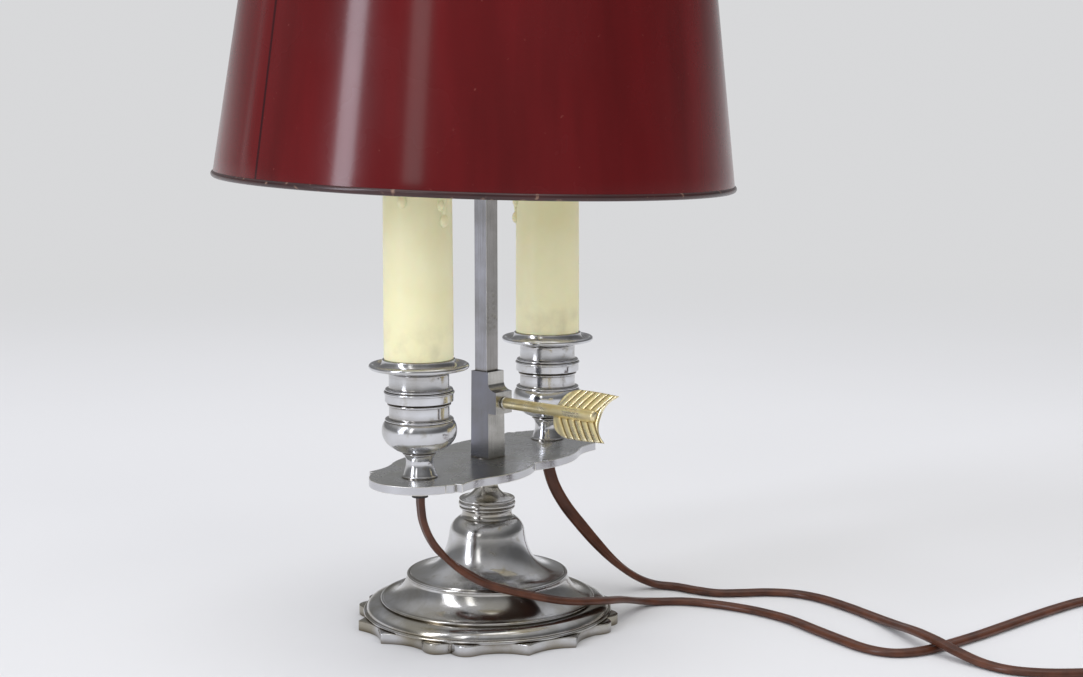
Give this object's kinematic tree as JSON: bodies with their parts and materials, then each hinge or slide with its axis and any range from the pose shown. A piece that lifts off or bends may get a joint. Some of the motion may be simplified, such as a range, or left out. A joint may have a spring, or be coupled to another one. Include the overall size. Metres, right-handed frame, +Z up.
{
  "type": "bouillotte table lamp",
  "caption": "Bouillotte table lamp: candle cups on a bracket that slides on a square rod, clamped by an arrow-shaped key, under a conical lacquered shade, on a turned bell foot.",
  "frame": {"origin": "middle of the foot's underside, on the table", "axes": "+Z up along the rod, +X from the rod's axis to the right-hand candle cup, the arrow key points 9 degrees from -Y towards -X"},
  "size_m": [0.2859, 0.5262, 0.3397],
  "materials": {
    "silver_polished": "worn silver plate, polished, with brown tarnish in the grooves",
    "silver_satin": "silver plate with a fine satin grain",
    "steel_fixing": "plain steel",
    "brass_key": "worn lacquered brass",
    "brass_carrier": "dull brass",
    "candle_ivory": "smooth ivory",
    "holder_white": "moulded white",
    "contact_brass": "bright brass",
    "cap_metal": "plain aluminium",
    "bulb_glass": "clear",
    "shade_lacquer": "glossy dark red lacquer, worn at the rolled edge",
    "baize": "green baize",
    "flex_brown": "smooth brown insulation",
    "fitting_brown": "moulded dark brown",
    "bush_dark": "moulded black",
    "pin_brass": "bright brass"
  },
  "bodies": {
    "stand": {"base_bell": "silver_polished", "base_pad": "baize", "base_washer": "steel_fixing", "base_nut": "steel_fixing", "neck_collar": "silver_polished", "rod": "silver_satin", "seat_washer": "silver_polished", "finial": "silver_polished", "flex_left": "flex_brown", "flex_right": "flex_brown", "switch_base": "fitting_brown", "switch_cover": "fitting_brown", "switch_pin": "steel_fixing", "switch_screws": "steel_fixing", "lead_run": "flex_brown", "lead_coil": "flex_brown", "lead_tail": "flex_brown", "plug_body": "fitting_brown", "plug_pins": "pin_brass"},
    "bracket": {"arm_plate": "silver_satin", "socket_block": "silver_satin", "cup_left": "silver_polished", "cup_right": "silver_polished", "cup_nuts": "steel_fixing", "flex_bushes": "bush_dark", "nipples": "steel_fixing", "lampholders": "holder_white", "holder_contacts": "contact_brass", "tube_left": "candle_ivory", "tube_right": "candle_ivory", "bulb_caps": "cap_metal", "bulb_left": "bulb_glass", "bulb_right": "bulb_glass"},
    "clamp": {"clamp_pad": "contact_brass"},
    "key": {"clamp_screw": "silver_polished", "arrow_key": "brass_key"},
    "shade": {"shade_skin": "shade_lacquer", "shade_carrier": "brass_carrier"},
    "rocker": {"switch_rocker": "fitting_brown"}
  },
  "joints": [
    {"name": "bracket_height", "type": "slide", "parent": "stand", "child": "bracket", "axis": [0, 0, 1], "range_m": [0, 0.045]},
    {"name": "clamp_travel", "type": "slide", "parent": "bracket", "child": "clamp", "axis": [-0.1564, -0.9877, 0], "range_m": [0, 0.0007]},
    {"name": "arrow_turn", "type": "hinge", "parent": "clamp", "child": "key", "pos_m": [-0.0015, -0.00948, 0.0917], "axis": [-0.1564, -0.9877, 0], "range_deg": [0, 360]},
    {"name": "shade_turn", "type": "hinge", "parent": "stand", "child": "shade", "pos_m": [0, 0, 0.3075], "axis": [0, 0, 1], "continuous": true},
    {"name": "switch_rock", "type": "hinge", "parent": "stand", "child": "rocker", "pos_m": [0.1664, -0.292, 0.0126], "axis": [1, 0, 0], "range_deg": [-16, 0]}
  ],
  "couplings": [
    {"joint": "arrow_turn", "follows": "clamp_travel", "rad_per_m": 8975}
  ]
}
